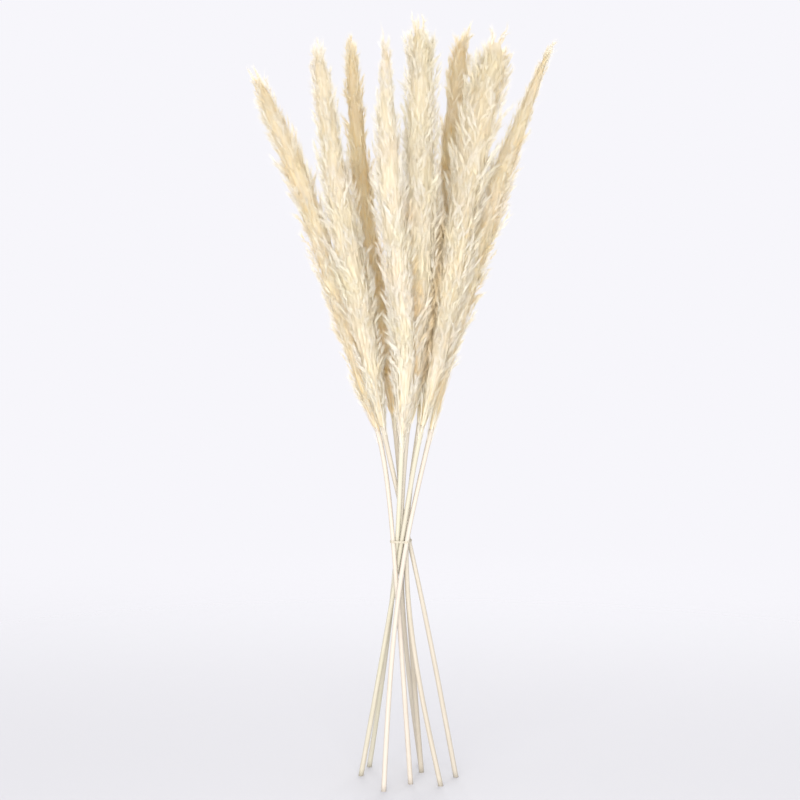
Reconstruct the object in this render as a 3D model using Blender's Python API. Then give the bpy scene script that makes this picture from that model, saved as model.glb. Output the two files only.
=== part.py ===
"""A bunch of dried pampas grass: eight cut culms with feathery heads, tied at the waist,
standing on their splayed cut ends."""
import math
import random

import bmesh
import bpy
import numpy as np
from mathutils import Euler, Vector

MM = 0.001

# Driving dimensions, in millimetres
STEM_WIDTH = 4.7
TIE_LEVEL = 258.0
TIE_HEIGHT = 2.6
TIE_THICKNESS = 1.1
TIE_CLEAR = 0.55
TIE_SIDES = 40
KNOT_X = -2.0
KNOT_SIZE = (5.2, 3.4, 4.6)
KNOT_ENDS = ((math.radians(14), math.radians(22), 0), (math.radians(14), math.radians(-16), 0))
END_LENGTH = 15.0
END_WIDTH = 2.2
END_THICKNESS = 0.8
FIT_GAP = 0.3
STEM_STEP = 22.0
STEM_OVERRUN = 12.0

# Each culm, from its cut foot on the floor up to the tip of its head. The points are
# (x, y, z), and the waist is given at the level of the tie.
CULMS = {
    1: dict(foot=(5, -24), waist=(-13.7, -4.3), collar=(-30.5, 6.6, 378), low=(-54, 11.6, 455),
            mid=(-100, 18, 605), tip=(-161, 25, 757)),
    2: dict(foot=(54, 4), waist=(3.2, 4.7), collar=(-24.5, 1.1, 380), low=(-40, -2.8, 460),
            mid=(-69, -13, 615), tip=(-92, -26, 783)),
    3: dict(foot=(17, 24), waist=(-2.1, 8.4), collar=(-13, 17.8, 392), low=(-24, 23.7, 470),
            mid=(-45.5, 35, 620), tip=(-59, 49, 794)),
    4: dict(foot=(-40, 47), waist=(-9.4, -1.4), collar=(-4, -17.3, 373), low=(-1.5, -26.8, 455),
            mid=(-15, -44.5, 620), tip=(-21.5, -59, 788)),
    5: dict(foot=(16.5, 59), waist=(-5.4, 2.3), collar=(2, -7.4, 384), low=(8.5, -10.3, 455),
            mid=(14.5, -17, 610), tip=(14.5, -24, 806)),
    6: dict(foot=(37, -32), waist=(0.7, -1.7), collar=(16, 7.2, 392), low=(26, 12.2, 455),
            mid=(43, 34.5, 620), tip=(61, 69, 801)),
    7: dict(foot=(-48.5, 10), waist=(-4.5, -3.8), collar=(17, -10.6, 382), low=(34, -12.5, 455),
            mid=(61, -10.5, 620), tip=(97, -3.5, 793)),
    8: dict(foot=(-23.5, -53), waist=(0.9, -7.2), collar=(27, 5.9, 377), low=(45, 13.2, 455),
            mid=(94, 22, 625), tip=(155, 26, 788)),
}

# Half the width of each head, at shares of its length from the collar to the tip
HEAD_SHARES = (0.0, 0.15, 0.35, 0.55, 0.75, 0.9, 0.97, 1.0)
HEAD_HALF_WIDTHS = {
    1: (3, 10, 13, 14.5, 13.5, 9, 5, 2.5),
    2: (3, 12, 19, 19, 13, 11, 7, 4),
    3: (3, 9, 12.5, 13, 11, 8.5, 5.5, 3),
    4: (3, 10, 15, 16, 12, 5.5, 3.5, 2),
    5: (3, 15, 23, 23, 17, 16, 12, 6),
    6: (3, 9, 13, 14, 13.5, 11, 8, 4),
    7: (3, 12, 18.5, 21, 22.5, 20.5, 14, 7),
    8: (3, 8, 16, 18.5, 12.5, 7, 4, 2),
}

# The tufts of each head, and the size of one where the head is full
SEED = 100
TUFTS = {1: 66, 2: 76, 3: 56, 4: 60, 5: 80, 6: 64, 7: 80, 8: 66}
TUFT_LENGTH = 44.0
TUFT_WIDTH = 11.0
TUFT_THICKNESS = 4.6
FULL_HEAD = 20.0
LEAST_SIZE = 0.45
LENGTH_SPREAD = 0.25
WIDTH_SPREAD = 0.15
REACH_SPREAD = 0.12
TIP_SHARE = 0.6
LEAN = 0.2
ANGLE_SPREAD = 0.25
GOLDEN_ANGLE = math.radians(137.5)

# The thickest place of a tuft: how far up and out it is, and how its thickness is shared
BELLY_UP = 0.42
BELLY_OUT = 0.66
BELLY_FRONT = 0.6
BELLY_BACK = 0.4

# Where the tufts begin above the collar and end below the tip
LOWEST_TUFT = 10.0
HIGHEST_TUFT = 34.0

# The axis inside a head
CORE_SHARE = 0.36
CORE_RINGS = 16
CORE_FROM = 8.0
CORE_TIP_RADIUS = 0.8
CORE_BELOW_TIP = 12.0

# How heads that lean on each other keep apart
CELL_MARGIN = 1.6
CELL_EXTRA = 1.0
TIP_REACH = 45.0

STRAW = (0.62, 0.50, 0.30)
CREAM = (0.80, 0.69, 0.49)
RAFFIA = (0.74, 0.61, 0.40)


def clear_scene():
    for obj in list(bpy.data.objects):
        bpy.data.objects.remove(obj, do_unlink=True)


def new_collection(name, helper=False):
    collection = bpy.data.collections.new(name)
    bpy.context.scene.collection.children.link(collection)
    collection.hide_render = helper
    return collection


def smooth_line(knots, values):
    """A natural cubic through the values, as a function of height."""
    knots, values = np.array(knots, float), np.array(values, float)
    count, step = len(knots), np.diff(knots)
    matrix, right = np.eye(count), np.zeros(count)
    for i in range(1, count - 1):
        matrix[i, i - 1:i + 2] = step[i - 1], 2 * (step[i - 1] + step[i]), step[i]
        rise = (values[i + 1] - values[i]) / step[i] - (values[i] - values[i - 1]) / step[i - 1]
        right[i] = 6 * rise
    bend = np.linalg.solve(matrix, right)

    def at(z):
        i = int(np.clip(np.searchsorted(knots, z) - 1, 0, count - 2))
        a, b = (knots[i + 1] - z) / step[i], (z - knots[i]) / step[i]
        curved = ((a ** 3 - a) * bend[i] + (b ** 3 - b) * bend[i + 1]) * step[i] ** 2 / 6
        return float(a * values[i] + b * values[i + 1] + curved)

    return at


class Culm:
    """The axis and the width of one culm with its head, in millimetres."""

    def __init__(self, number):
        culm = CULMS[number]
        points = [(*culm["foot"], 0.0), (*culm["waist"], TIE_LEVEL)]
        points += [culm["collar"], culm["low"], culm["mid"], culm["tip"]]
        xs, ys, zs = zip(*points)
        self.x, self.y = smooth_line(zs, xs), smooth_line(zs, ys)
        self.collar, self.top = culm["collar"][2], culm["tip"][2]
        self.half_widths = HEAD_HALF_WIDTHS[number]

    def at(self, z):
        return Vector((self.x(z), self.y(z), z))

    def along(self, z):
        return (self.at(z + 1) - self.at(z - 1)).normalized()

    def half_width(self, z):
        if z < self.collar:
            return STEM_WIDTH / 2 + CELL_EXTRA
        share = (z - self.collar) / (self.top - self.collar)
        return float(np.interp(share, HEAD_SHARES, self.half_widths))


def rod(name, points, radii, rings):
    """A closed round rod through the points, as a mesh."""
    data = bpy.data.curves.new(name, "CURVE")
    data.dimensions = "3D"
    data.bevel_depth = MM
    data.bevel_resolution = rings
    data.use_fill_caps = True
    spline = data.splines.new("POLY")
    spline.points.add(len(points) - 1)
    for place, point, radius in zip(spline.points, points, radii):
        place.co = (*(point * MM), 1)
        place.radius = radius
    guide = bpy.data.objects.new(name + "_guide", data)
    bpy.context.scene.collection.objects.link(guide)
    graph = bpy.context.evaluated_depsgraph_get()
    mesh = bpy.data.meshes.new_from_object(guide.evaluated_get(graph))
    bpy.data.objects.remove(guide, do_unlink=True)
    bpy.data.curves.remove(data)
    mesh.name = name
    shape = bmesh.new()
    shape.from_mesh(mesh)
    bmesh.ops.remove_doubles(shape, verts=shape.verts, dist=1e-6)
    bmesh.ops.recalc_face_normals(shape, faces=shape.faces)
    shape.to_mesh(mesh)
    shape.free()
    return mesh


def cut_level(mesh, z, keep_above):
    """Cuts the mesh along a level plane and closes the cut."""
    shape = bmesh.new()
    shape.from_mesh(mesh)
    geometry = shape.verts[:] + shape.edges[:] + shape.faces[:]
    cut = bmesh.ops.bisect_plane(
        shape, geom=geometry, plane_co=(0, 0, z * MM), plane_no=(0, 0, 1),
        clear_inner=keep_above, clear_outer=not keep_above)
    rim = [item for item in cut["geom_cut"] if isinstance(item, bmesh.types.BMEdge)]
    bmesh.ops.contextual_create(shape, geom=rim)
    bmesh.ops.recalc_face_normals(shape, faces=shape.faces)
    shape.to_mesh(mesh)
    shape.free()


def make_material(name, colour, roughness):
    material = bpy.data.materials.new(name)
    material.use_nodes = True
    shader = material.node_tree.nodes["Principled BSDF"]
    shader.inputs["Base Color"].default_value = (*colour, 1)
    shader.inputs["Roughness"].default_value = roughness
    shader.inputs["Metallic"].default_value = 0
    material.diffuse_color = (*colour, 1)
    return material


def place(name, mesh, collection, colour, roughness):
    obj = bpy.data.objects.new(name, mesh)
    collection.objects.link(obj)
    mesh.materials.clear()
    mesh.materials.append(make_material(name, colour, roughness))
    return obj


def make_stem(number, culm, collection):
    """The bare culm, cut level at the floor and again where the head begins."""
    heights = np.arange(-STEM_OVERRUN, culm.collar + STEM_OVERRUN, STEM_STEP)
    heights = np.append(heights, culm.collar + STEM_OVERRUN)
    points = [culm.at(z) for z in heights]
    name = f"stem_{number}"
    mesh = rod(name, points, [STEM_WIDTH / 2] * len(points), 2)
    cut_level(mesh, 0.0, keep_above=True)
    cut_level(mesh, culm.collar, keep_above=False)
    obj = place(name, mesh, collection, STRAW, 0.55)
    mesh.polygons.foreach_set("use_smooth", [True] * len(mesh.polygons))
    return obj


def inside_cell(point, own, culms):
    """The point, moved back where it would reach over the border to another culm."""
    z = point.z
    for other in culms.values():
        if other is own or z > other.top + TIP_REACH:
            continue
        gap = other.at(z) - own.at(z)
        distance = gap.length
        towards = gap / distance
        own_share = own.half_width(min(z, own.top)) + CELL_EXTRA
        other_share = other.half_width(min(z, other.top)) + CELL_EXTRA
        border = distance * own_share / (own_share + other_share) - CELL_MARGIN
        reach = (point - own.at(z)).dot(towards)
        if reach > border:
            point = point - towards * (reach - border)
    return point


def tuft_mesh(culm, culms, z, angle, draw):
    """One pointed tuft of spikelets, from the axis of the head outwards and up."""
    root, up = culm.at(z), culm.along(z)
    length = TUFT_LENGTH * draw.uniform(1 - LENGTH_SPREAD, 1 + LENGTH_SPREAD / 2)
    side = up.cross(Vector((math.cos(angle), math.sin(angle), 0))).normalized()
    out = side.cross(up).normalized()
    half_width = culm.half_width(min(z + TIP_SHARE * length, culm.top))
    size = min(1.0, LEAST_SIZE + half_width / FULL_HEAD)
    width = TUFT_WIDTH * size * draw.uniform(1 - WIDTH_SPREAD, 1 + WIDTH_SPREAD)
    thickness = TUFT_THICKNESS * size
    reach = half_width * draw.uniform(1 - REACH_SPREAD, 1 + REACH_SPREAD)
    lean = draw.uniform(-LEAN, LEAN) * width
    middle = root + up * (BELLY_UP * length) + out * (BELLY_OUT * reach)
    tip = root + up * length + out * reach + side * lean
    front, back = middle + out * (BELLY_FRONT * thickness), middle - out * (BELLY_BACK * thickness)
    corners = [front, back + side * (width / 2), back - side * (width / 2)]
    shape = bmesh.new()
    bmesh.ops.create_uvsphere(shape, u_segments=3, v_segments=2, radius=1)
    around = sorted((v for v in shape.verts if abs(v.co.z) < 0.5),
                    key=lambda v: math.atan2(v.co.y, v.co.x))
    for vert in shape.verts:
        if vert.co.z > 0.5:
            vert.co = inside_cell(tip, culm, culms) * MM
        elif vert.co.z < -0.5:
            vert.co = root * MM
    for vert, corner in zip(around, corners):
        vert.co = inside_cell(corner, culm, culms) * MM
    bmesh.ops.recalc_face_normals(shape, faces=shape.faces)
    mesh = bpy.data.meshes.new("tuft")
    shape.to_mesh(mesh)
    shape.free()
    return mesh


def core_mesh(number, culm):
    """The slim axis of the head, which the tufts grow from."""
    start = culm.collar + FIT_GAP
    heights = np.linspace(start - STEM_OVERRUN, culm.top - CORE_BELOW_TIP, CORE_RINGS)
    radii = [max(CORE_SHARE * culm.half_width(z), CORE_TIP_RADIUS) for z in heights]
    radii = [STEM_WIDTH / 2 if z < start + CORE_FROM else r for z, r in zip(heights, radii)]
    mesh = rod(f"plume_{number}", [culm.at(z) for z in heights], radii, 1)
    cut_level(mesh, start, keep_above=True)
    return mesh


def fill_pockets(mesh):
    """Removes the walls of pockets sealed in between the joined shapes."""
    shape = bmesh.new()
    shape.from_mesh(mesh)
    waiting, shells = set(shape.faces), []
    while waiting:
        shell, front = set(), [waiting.pop()]
        while front:
            face = front.pop()
            shell.add(face)
            near = {other for edge in face.edges for other in edge.link_faces} & waiting
            waiting -= near
            front.extend(near)
        shells.append(shell)
    outer = max(shells, key=len)
    pockets = [face for shell in shells if shell is not outer for face in shell]
    bmesh.ops.delete(shape, geom=pockets, context="FACES")
    shape.to_mesh(mesh)
    shape.free()


def fuse(obj, meshes):
    """Joins the meshes to the object as one solid."""
    extras = new_collection("extras", helper=True)
    for mesh in meshes:
        extras.objects.link(bpy.data.objects.new(mesh.name, mesh))
    join = obj.modifiers.new("join", "BOOLEAN")
    join.operation = "UNION"
    join.solver = "EXACT"
    join.operand_type = "COLLECTION"
    join.collection = extras
    bpy.context.view_layer.objects.active = obj
    bpy.ops.object.modifier_apply(modifier=join.name)
    for extra in list(extras.objects):
        bpy.data.objects.remove(extra, do_unlink=True)
    bpy.data.collections.remove(extras)
    fill_pockets(obj.data)


def make_plume(number, culm, culms, collection):
    """A head: its core and its tufts, joined into one solid."""
    draw = random.Random(SEED + number)
    head = place(f"plume_{number}", core_mesh(number, culm), collection, CREAM, 0.8)
    tufts = []
    low, high = culm.collar + LOWEST_TUFT, culm.top - HIGHEST_TUFT
    for i in range(TUFTS[number]):
        share = (i + 0.5) / TUFTS[number]
        z = low + (high - low) * share
        angle = i * GOLDEN_ANGLE + draw.uniform(-ANGLE_SPREAD, ANGLE_SPREAD)
        tufts.append(tuft_mesh(culm, culms, z, angle, draw))
    fuse(head, tufts)
    return head


def pulled_round(culms, z, offset):
    """The outline of a thread pulled tight round all the stems at this height."""
    radius = STEM_WIDTH / 2 + offset
    centres = [culm.at(z) for culm in culms.values()]
    outline = []
    for i in range(TIE_SIDES):
        angle = 2 * math.pi * i / TIE_SIDES
        out = Vector((math.cos(angle), math.sin(angle), 0))
        outline.append(max(centres, key=out.dot) + out * radius)
    return outline


def box_mesh(name, size, middle, turn):
    """A closed block, turned and then moved to its middle."""
    shape = bmesh.new()
    bmesh.ops.create_cube(shape, size=1)
    for vert in shape.verts:
        vert.co = (Euler(turn).to_matrix() @ (vert.co * Vector(size)) + middle) * MM
    mesh = bpy.data.meshes.new(name)
    shape.to_mesh(mesh)
    shape.free()
    return mesh


def knot_mesh(middle):
    shape = bmesh.new()
    bmesh.ops.create_uvsphere(shape, u_segments=8, v_segments=6, radius=1)
    for vert in shape.verts:
        vert.co = (vert.co * Vector(KNOT_SIZE) / 2 + middle) * MM
    mesh = bpy.data.meshes.new("knot")
    shape.to_mesh(mesh)
    shape.free()
    return mesh


def make_tie(culms, collection):
    """A flat raffia thread round the waist, with its knot and trimmed ends at the back."""
    low, high = TIE_LEVEL - TIE_HEIGHT / 2, TIE_LEVEL + TIE_HEIGHT / 2
    shape = bmesh.new()
    loops = []
    for offset, z in ((TIE_CLEAR, low), (TIE_CLEAR + TIE_THICKNESS, low),
                      (TIE_CLEAR + TIE_THICKNESS, high), (TIE_CLEAR, high)):
        outline = pulled_round(culms, TIE_LEVEL, offset)
        loops.append([shape.verts.new(Vector((p.x, p.y, z)) * MM) for p in outline])
    for k, loop in enumerate(loops):
        after = loops[(k + 1) % len(loops)]
        for i, vert in enumerate(loop):
            j = (i + 1) % TIE_SIDES
            shape.faces.new((vert, loop[j], after[j], after[i]))
    bmesh.ops.recalc_face_normals(shape, faces=shape.faces)
    mesh = bpy.data.meshes.new("tie")
    shape.to_mesh(mesh)
    shape.free()
    tie = place("tie", mesh, collection, RAFFIA, 0.7)
    back = pulled_round(culms, TIE_LEVEL, TIE_CLEAR + TIE_THICKNESS)[TIE_SIDES // 4]
    knot = Vector((KNOT_X, back.y + KNOT_SIZE[1] / 2 - TIE_THICKNESS, TIE_LEVEL))
    ends = []
    for turn in KNOT_ENDS:
        hang = Euler(turn).to_matrix() @ Vector((0, 0, -END_LENGTH / 2))
        ends.append(box_mesh("end", (END_WIDTH, END_THICKNESS, END_LENGTH), knot + hang, turn))
    fuse(tie, [knot_mesh(knot)] + ends)
    return tie


def set_on_middle(nodes):
    """Moves the bunch so that its box stands centred on the origin."""
    bpy.context.view_layer.update()
    corners = np.array([vert.co for obj in nodes for vert in obj.data.vertices])
    middle = (corners.min(axis=0) + corners.max(axis=0)) / 2
    for obj in nodes:
        for vert in obj.data.vertices:
            vert.co.x -= middle[0]
            vert.co.y -= middle[1]
    print("middle of the bunch, mm:", middle[:2] / MM)


def main():
    clear_scene()
    bunch = new_collection("dried_pampas_grass")
    culms = {number: Culm(number) for number in CULMS}
    nodes = [make_stem(number, culm, bunch) for number, culm in culms.items()]
    nodes += [make_plume(number, culm, culms, bunch) for number, culm in culms.items()]
    nodes.append(make_tie(culms, bunch))
    set_on_middle(nodes)
    for obj in nodes:
        print(obj.name, sum(len(face.vertices) - 2 for face in obj.data.polygons), "triangles")


main()
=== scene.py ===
# %% [markdown]
# # Dried pampas grass, tied in a bunch
#
# Eight dried culms of pampas grass stand on their cut ends. They cross at a thread tied round
# the waist, and each carries a long feathery head. The bare stems are simple. Most of the work
# is in the heads, where thousands of thin hairs gather in sprigs, and the sprigs in tufts.
#
# The CAD model is loaded first and fixes every place and size. The finer pieces made here
# stand in for its solids.

# %% Load the CAD model
import math

import bpy
import numpy as np
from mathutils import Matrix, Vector


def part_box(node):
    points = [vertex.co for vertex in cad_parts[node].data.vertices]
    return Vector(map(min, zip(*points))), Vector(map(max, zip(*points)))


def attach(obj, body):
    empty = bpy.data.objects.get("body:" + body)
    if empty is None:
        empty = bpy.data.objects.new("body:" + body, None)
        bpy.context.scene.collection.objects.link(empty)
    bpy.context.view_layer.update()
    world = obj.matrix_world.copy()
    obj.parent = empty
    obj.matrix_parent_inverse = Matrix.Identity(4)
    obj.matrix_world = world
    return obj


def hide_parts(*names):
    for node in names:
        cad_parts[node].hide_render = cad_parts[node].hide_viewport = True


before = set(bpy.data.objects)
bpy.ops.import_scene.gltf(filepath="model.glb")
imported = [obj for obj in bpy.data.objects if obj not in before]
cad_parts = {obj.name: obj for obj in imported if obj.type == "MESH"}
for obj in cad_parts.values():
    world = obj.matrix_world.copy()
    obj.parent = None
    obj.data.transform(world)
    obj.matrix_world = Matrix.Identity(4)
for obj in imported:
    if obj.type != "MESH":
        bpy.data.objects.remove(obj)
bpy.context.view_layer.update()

# %% [markdown]
# ## The lines of the culms
#
# Each culm is one smooth line from its cut foot, through the tie and the collar where the head
# begins, up to the tip. A curve object could hold it, but a head needs the place and the
# direction of its line at thousands of heights, so the line is a formula here. The points are
# the ones that the solids were built on, in millimetres. The CAD model is centred on its own
# box, so the lines are moved by the same amount.

# %% The culms, as points that a smooth line passes through
MM = 0.001
TIE_LEVEL = 258.0
STEM_WIDTH = 4.7
MIDDLE_OF_BUNCH = (-3.577, 6.107)
CULMS = {
    1: dict(foot=(5, -24), waist=(-13.7, -4.3), collar=(-30.5, 6.6, 378), low=(-54, 11.6, 455),
            mid=(-100, 18, 605), tip=(-161, 25, 757)),
    2: dict(foot=(54, 4), waist=(3.2, 4.7), collar=(-24.5, 1.1, 380), low=(-40, -2.8, 460),
            mid=(-69, -13, 615), tip=(-92, -26, 783)),
    3: dict(foot=(17, 24), waist=(-2.1, 8.4), collar=(-13, 17.8, 392), low=(-24, 23.7, 470),
            mid=(-45.5, 35, 620), tip=(-59, 49, 794)),
    4: dict(foot=(-40, 47), waist=(-9.4, -1.4), collar=(-4, -17.3, 373), low=(-1.5, -26.8, 455),
            mid=(-15, -44.5, 620), tip=(-21.5, -59, 788)),
    5: dict(foot=(16.5, 59), waist=(-5.4, 2.3), collar=(2, -7.4, 384), low=(8.5, -10.3, 455),
            mid=(14.5, -17, 610), tip=(14.5, -24, 806)),
    6: dict(foot=(37, -32), waist=(0.7, -1.7), collar=(16, 7.2, 392), low=(26, 12.2, 455),
            mid=(43, 34.5, 620), tip=(61, 69, 801)),
    7: dict(foot=(-48.5, 10), waist=(-4.5, -3.8), collar=(17, -10.6, 382), low=(34, -12.5, 455),
            mid=(61, -10.5, 620), tip=(97, -3.5, 793)),
    8: dict(foot=(-23.5, -53), waist=(0.9, -7.2), collar=(27, 5.9, 377), low=(45, 13.2, 455),
            mid=(94, 22, 625), tip=(155, 26, 788)),
}
print("culms:", len(CULMS))

# %% Half the width of each head, at these shares of its length
HEAD_SHARES = (0.0, 0.04, 0.08, 0.15, 0.35, 0.55, 0.75, 0.9, 0.97, 1.0)
HEAD_HALF_WIDTHS = {
    1: (4.2, 8, 9.6, 10.8, 13, 14.5, 14, 10.5, 6, 3),
    2: (4.2, 7.5, 9.6, 13, 19, 19, 13, 11, 7, 3),
    3: (4.0, 6, 8, 10, 13, 13.5, 11, 8.5, 5, 2.5),
    4: (4.0, 7, 9.5, 13, 17.5, 17, 13.5, 7.5, 4.5, 2.5),
    5: (4.2, 8, 11, 15.5, 23, 23, 17, 16.5, 14, 7),
    6: (3.6, 5, 6.5, 9, 13, 14, 13.5, 11, 8, 4),
    7: (3.4, 4.6, 7, 11, 18.5, 21, 22.5, 21, 16, 8),
    8: (3.0, 3.8, 4.8, 8, 15, 18.5, 11, 5, 2.5, 1.5),
}
print("widths of the heads, mm:", [2 * max(widths) for widths in HEAD_HALF_WIDTHS.values()])


# %% A smooth line through points
def smooth_line(knots, values):
    """A natural cubic through the values, as a function of an array of heights."""
    knots, values = np.array(knots, float), np.array(values, float)
    count, step = len(knots), np.diff(knots)
    matrix, right = np.eye(count), np.zeros(values.shape)
    for i in range(1, count - 1):
        matrix[i, i - 1:i + 2] = step[i - 1], 2 * (step[i - 1] + step[i]), step[i]
        rise = (values[i + 1] - values[i]) / step[i] - (values[i] - values[i - 1]) / step[i - 1]
        right[i] = 6 * rise
    bend = np.linalg.solve(matrix, right)

    def at(z):
        z = np.asarray(z, float)
        i = np.clip(np.searchsorted(knots, z) - 1, 0, count - 2)
        a, b = (knots[i + 1] - z) / step[i], (z - knots[i]) / step[i]
        cubic_a, cubic_b = (a ** 3 - a) * step[i] ** 2 / 6, (b ** 3 - b) * step[i] ** 2 / 6
        flat = a[..., None] * values[i] + b[..., None] * values[i + 1]
        return flat + cubic_a[..., None] * bend[i] + cubic_b[..., None] * bend[i + 1]

    return at


arch = smooth_line((0, 1, 2), [(0,), (1,), (0,)])
print("an arch of height 1, halfway up its side:", arch(0.5))


# %% One culm, with its line and the width of its head
class Culm:
    """The line of one culm in metres, and half the width of its head along it."""

    def __init__(self, number):
        culm = CULMS[number]
        points = [(*culm["foot"], 0.0), (*culm["waist"], TIE_LEVEL)]
        points += [culm["collar"], culm["low"], culm["mid"], culm["tip"]]
        points = np.array(points, float)
        points[:, :2] -= MIDDLE_OF_BUNCH
        points *= MM
        self.number = number
        self.line = smooth_line(points[:, 2], points[:, :2])
        self.collar, self.top = points[2, 2], points[-1, 2]
        self.half_widths = np.array(HEAD_HALF_WIDTHS[number]) * MM

    def at(self, z):
        z = np.asarray(z, float)
        return np.concatenate([self.line(z), z[..., None]], axis=-1)

    def frame_at(self, z):
        """Across, depth and along: three unit vectors that follow the bend of the line."""
        along = self.at(z + MM) - self.at(z - MM)
        along /= np.linalg.norm(along, axis=-1, keepdims=True)
        depth = np.cross(along, (1.0, 0.0, 0.0))
        depth /= np.linalg.norm(depth, axis=-1, keepdims=True)
        return np.cross(depth, along), depth, along

    def half_width(self, z):
        share = (np.asarray(z) - self.collar) / (self.top - self.collar)
        inside = np.interp(share, HEAD_SHARES, self.half_widths)
        return np.where(share < 0, STEM_WIDTH * MM / 2, inside)

    def head_height(self):
        """How far the tip stands above the collar, in millimetres."""
        return (self.top - self.collar) / MM

    def head_half_width(self, level):
        """Half the width of the head at a level above the collar, both in millimetres."""
        return self.half_width(self.collar + level * MM) / MM


culms = {number: Culm(number) for number in CULMS}
for culm in culms.values():
    low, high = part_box(f"stem_{culm.number}")
    print(f"stem {culm.number}: the line's foot at x {culm.at(0.0)[0] / MM:.1f} mm,",
          f"the CAD stem from {low.x / MM:.1f} to {high.x / MM:.1f} mm")

# %% [markdown]
# ## The camera
#
# The camera looks slightly down on the bunch from a few steps away. From there a long lens
# fills the picture with it and keeps the slim heads free of distortion. The distance and the
# height were worked out from how far apart the near and the far feet appear.

# %% The camera
PICTURE_WIDTH = 800
FOCAL_PIXELS = 2276.0
SENSOR_WIDTH = 36.0
CAMERA_DISTANCE = 2.400
CAMERA_HEIGHT = 0.643
CAMERA_ACROSS = -0.0063
LOOK_DOWN = math.radians(5.57)

camera_data = bpy.data.cameras.new("camera")
camera_data.sensor_width = SENSOR_WIDTH
camera_data.lens = FOCAL_PIXELS * SENSOR_WIDTH / PICTURE_WIDTH
camera = bpy.data.objects.new("camera", camera_data)
bpy.context.scene.collection.objects.link(camera)
camera.location = (CAMERA_ACROSS - MIDDLE_OF_BUNCH[0] * MM,
                   -CAMERA_DISTANCE - MIDDLE_OF_BUNCH[1] * MM, CAMERA_HEIGHT)
camera.rotation_euler = (math.pi / 2 - LOOK_DOWN, 0, 0)
bpy.context.scene.camera = camera
print("lens, mm:", round(camera_data.lens, 1))

# %% [markdown]
# ## Writing shader maths in Python
#
# A material is a net of nodes. Joining them by hand is slow to read, so a socket is wrapped
# in a small class that knows plus, minus and times, and each sum adds its Math node. A second
# class holds one material and adds every other kind of node to it.


# %% A socket that can be calculated with
class Value:
    """A socket that carries a number or a colour, for use in Python sums."""

    def __init__(self, paint, socket):
        self.paint = paint
        self.socket = socket

    def __add__(self, other):
        return self.paint.maths("ADD", self, other)

    def __sub__(self, other):
        return self.paint.maths("SUBTRACT", self, other)

    def __rsub__(self, other):
        return self.paint.maths("SUBTRACT", other, self)

    def __mul__(self, other):
        return self.paint.maths("MULTIPLY", self, other)

    __radd__ = __add__
    __rmul__ = __mul__


print("a socket knows +, - and *")


# %% A material to put nodes in
class Paint:
    """A new material with its Principled shader, and short ways to add nodes to it."""

    def __init__(self, name):
        self.material = bpy.data.materials.new(name)
        self.material.use_nodes = True
        self.tree = self.material.node_tree
        self.shader = self.tree.nodes["Principled BSDF"]
        self.output = self.tree.nodes["Material Output"]

    def node(self, kind, settings=None, values=None, out=0):
        """Adds a node: its settings first, then the values or links of its sockets."""
        made = self.tree.nodes.new(kind)
        for name, setting in (settings or {}).items():
            if name == "stops":
                self.set_stops(made.color_ramp, setting)
            else:
                setattr(made, name, setting)
        for name, value in (values or {}).items():
            self.feed(made.inputs[name], value)
        return Value(self, made.outputs[out])

    def feed(self, socket, value):
        """Links a value to a socket, or sets the socket to a number, a vector or a colour."""
        if isinstance(value, Value):
            self.tree.links.new(value.socket, socket)
        elif socket.type == "RGBA":
            socket.default_value = (*value, 1)
        else:
            socket.default_value = value

    def set_stops(self, ramp, stops):
        while len(ramp.elements) < len(stops):
            ramp.elements.new(0.5)
        for element, (place, colour) in zip(ramp.elements, stops):
            element.position = place
            element.color = (*colour, 1)

    def surface(self, **values):
        """Sets or links sockets of the shader, named with _ for each space."""
        for name, value in values.items():
            self.feed(self.shader.inputs[name.replace("_", " ")], value)

    def mix_shader(self, factor, other):
        """Shows a mix of the Principled shader and another one."""
        principled = Value(self, self.shader.outputs[0])
        both = self.node("ShaderNodeMixShader", {}, {0: factor, 1: principled, 2: other})
        self.feed(self.output.inputs["Surface"], both)

    def maths(self, operation, *values):
        return self.node("ShaderNodeMath", {"operation": operation}, dict(enumerate(values)))

    def mix(self, factor, first, second, blend="MIX"):
        """A colour between two colours, or the first one tinted by the second."""
        return self.node("ShaderNodeMix", {"data_type": "RGBA", "blend_type": blend},
                         {0: factor, 6: first, 7: second}, out=2)

    def ramp(self, value, stops):
        """A colour that runs through the stops as the value goes from 0 to 1."""
        return self.node("ShaderNodeValToRGB", {"stops": stops}, {"Fac": value})

    def spread(self, value, low, high, shape="LINEAR"):
        """The value stretched so that low becomes 0 and high becomes 1, kept within them."""
        return self.node("ShaderNodeMapRange", {"interpolation_type": shape},
                         {"Value": value, "From Min": low, "From Max": high})

    def attribute(self, name, out="Fac"):
        return self.node("ShaderNodeAttribute", {"attribute_name": name}, out=out)

    def place(self):
        return self.node("ShaderNodeTexCoord", out="Object")

    def noise(self, place, scale, detail=2.0, stretch=(1, 1, 1)):
        place = self.node("ShaderNodeMapping", {}, {"Vector": place, "Scale": stretch})
        return self.node("ShaderNodeTexNoise", {}, {"Vector": place, "Scale": scale,
                                                    "Detail": detail})

    def bump(self, height, strength, distance):
        return self.node("ShaderNodeBump", {}, {"Height": height, "Strength": strength,
                                                "Distance": distance})


print("the helpers for materials are ready")

# %% [markdown]
# ## The floor and the light
#
# The bunch stands in a white studio. A pale world lights it from all round, a large soft light
# stands in front on the left, and another, high behind, shines through the edges of the heads.
# A smaller one low in front fills the stems and the lower heads, and its beam is narrowed so
# that it leaves no bright patch on the floor. The floor is a wide pale disc. It turns
# transparent away from the bunch, so that it runs into the world and no horizon shows.

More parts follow.
